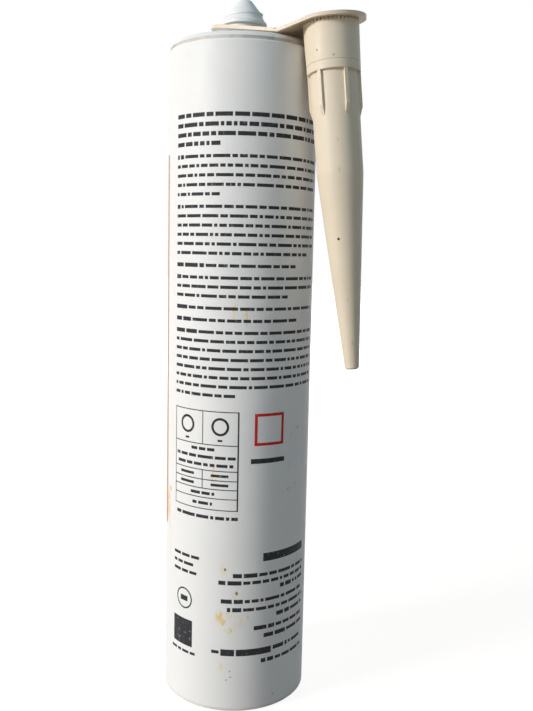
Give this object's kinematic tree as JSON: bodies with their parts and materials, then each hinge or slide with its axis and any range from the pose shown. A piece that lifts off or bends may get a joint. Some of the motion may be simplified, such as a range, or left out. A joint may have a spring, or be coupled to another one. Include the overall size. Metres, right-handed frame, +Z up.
{
  "type": "sealant cartridge",
  "caption": "Standing sealant cartridge: straight barrel with a closed threaded spigot, inner piston, and a tapered nozzle that hangs at its side from a ring round the neck.",
  "frame": {"origin": "centre of the barrel's rear rim plane, on the barrel's own axis", "axes": "+Z up along the barrel to the spigot, +X towards the hanging nozzle, +Y across"},
  "size_m": [0.0714, 0.0494, 0.2358],
  "materials": {
    "barrel_plastic": "white moulded polyethylene, slightly glossy",
    "piston_plastic": "soft white polyethylene",
    "sealant_paste": "wet paste",
    "nozzle_plastic": "cream moulded polyethylene, satin"
  },
  "bodies": {
    "barrel": {"barrel": "barrel_plastic", "sealant": "sealant_paste"},
    "piston": {"piston": "piston_plastic"},
    "nozzle": {"nozzle_with_holder": "nozzle_plastic"}
  },
  "joints": [
    {"name": "nozzle_swivel", "type": "hinge", "parent": "barrel", "child": "nozzle", "pos_m": [0, 0, 0.2255], "axis": [0, 0, 1], "continuous": true},
    {"name": "piston_slide", "type": "slide", "parent": "barrel", "child": "piston", "axis": [0, 0, 1], "range_m": [0, 0.17], "deforming": ["sealant"]}
  ]
}
